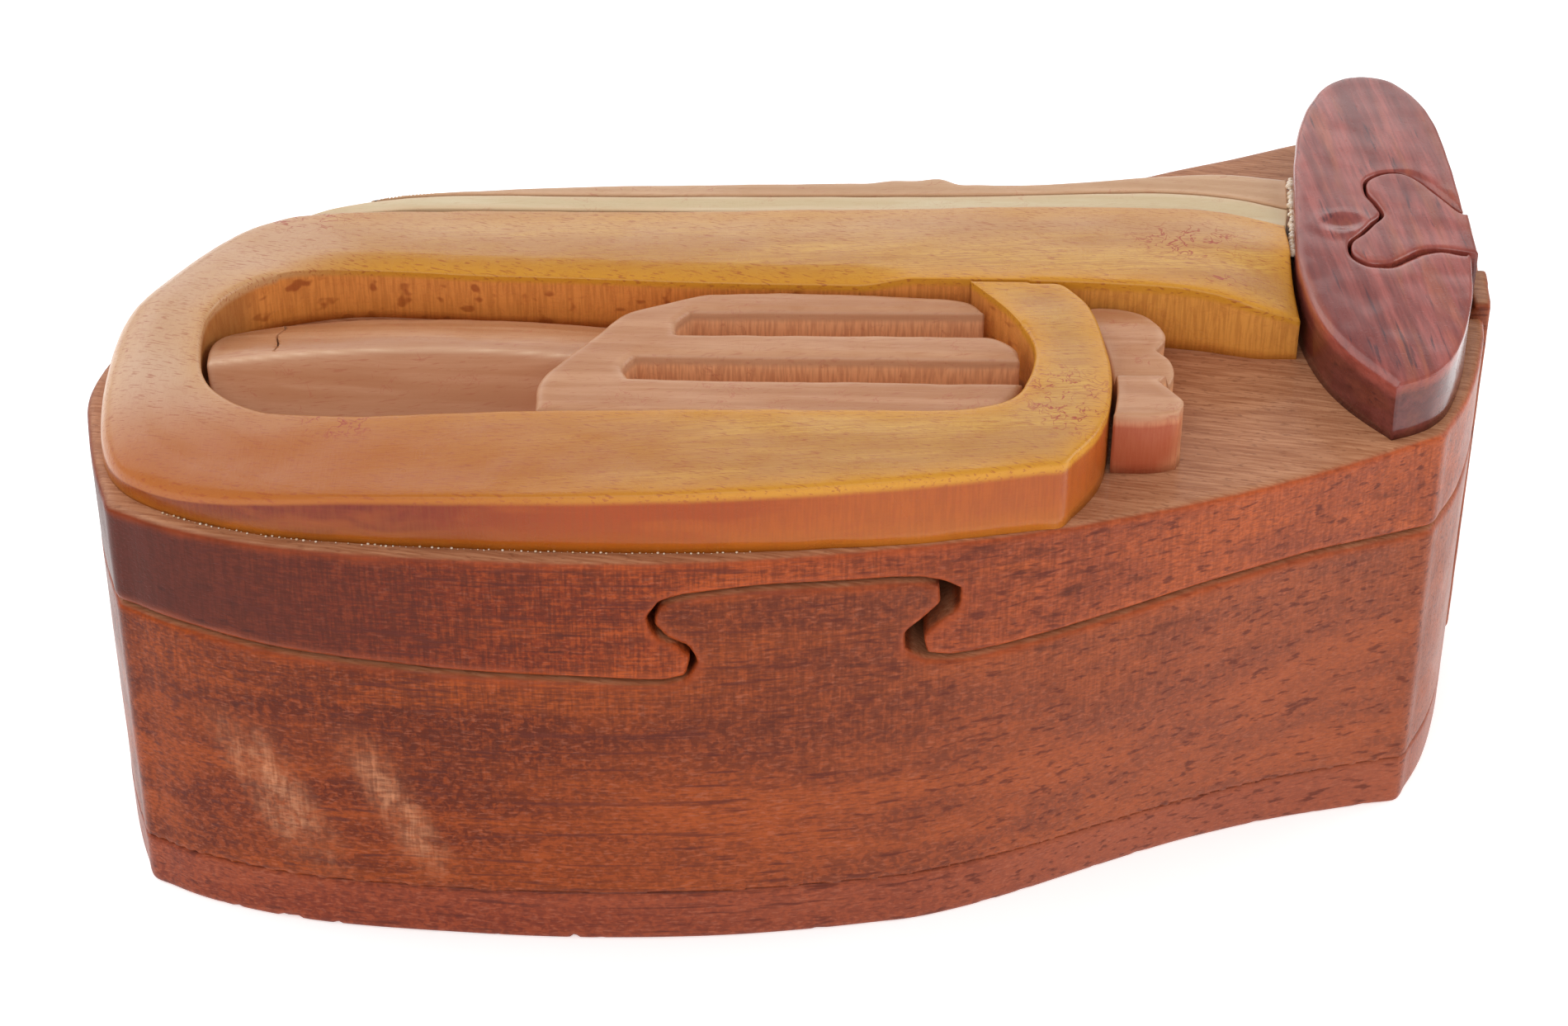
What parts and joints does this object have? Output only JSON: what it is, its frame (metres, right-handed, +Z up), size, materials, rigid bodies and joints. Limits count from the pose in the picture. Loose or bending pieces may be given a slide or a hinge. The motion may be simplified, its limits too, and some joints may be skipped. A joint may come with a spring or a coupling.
{
  "type": "wooden puzzle box",
  "caption": "Hand-carved wooden puzzle box shaped like a tuba on its side, with a lid that slides off a hollow base once a fishtail key is lifted out of the bell.",
  "frame": {"origin": "on the table, under the middle of the box's overall outline", "axes": "+X along the box towards the bell, +Y to the back, +Z up from the table"},
  "size_m": [0.165, 0.0938, 0.0642],
  "materials": {
    "mahogany": "clear lacquer over red-brown mahogany",
    "mahogany_key": "clear lacquer over brown mahogany",
    "rosewood": "gloss lacquer over dark red rosewood",
    "yellow_wood": "gloss lacquer over yellow jackfruit-like wood with flecks of red dye",
    "cream_wood": "satin lacquer over cream wood",
    "pink_wood": "satin lacquer over pinkish wood",
    "pale_pipe_wood": "satin lacquer over tan wood",
    "felt": "dark red felt"
  },
  "bodies": {
    "base": {"base_floor": "mahogany", "base_frame": "mahogany", "felt_pad": "felt"},
    "lid": {"lid_board": "mahogany", "bell": "rosewood", "horn_loop": "yellow_wood", "inlay_stripe": "cream_wood", "lead_pipe": "pale_pipe_wood", "inner_pipe": "pink_wood", "valve_block": "pink_wood", "valve_ends": "pink_wood"},
    "key": {"key_body": "mahogany_key", "key_cap": "rosewood"}
  },
  "joints": [
    {"name": "key_lift", "type": "slide", "parent": "base", "child": "key", "axis": [0, 0, 1], "range_m": [0, 0.062]},
    {"name": "lid_slide", "type": "slide", "parent": "base", "child": "lid", "axis": [0, 1, 0], "range_m": [-0.00025, 0.00025]}
  ]
}
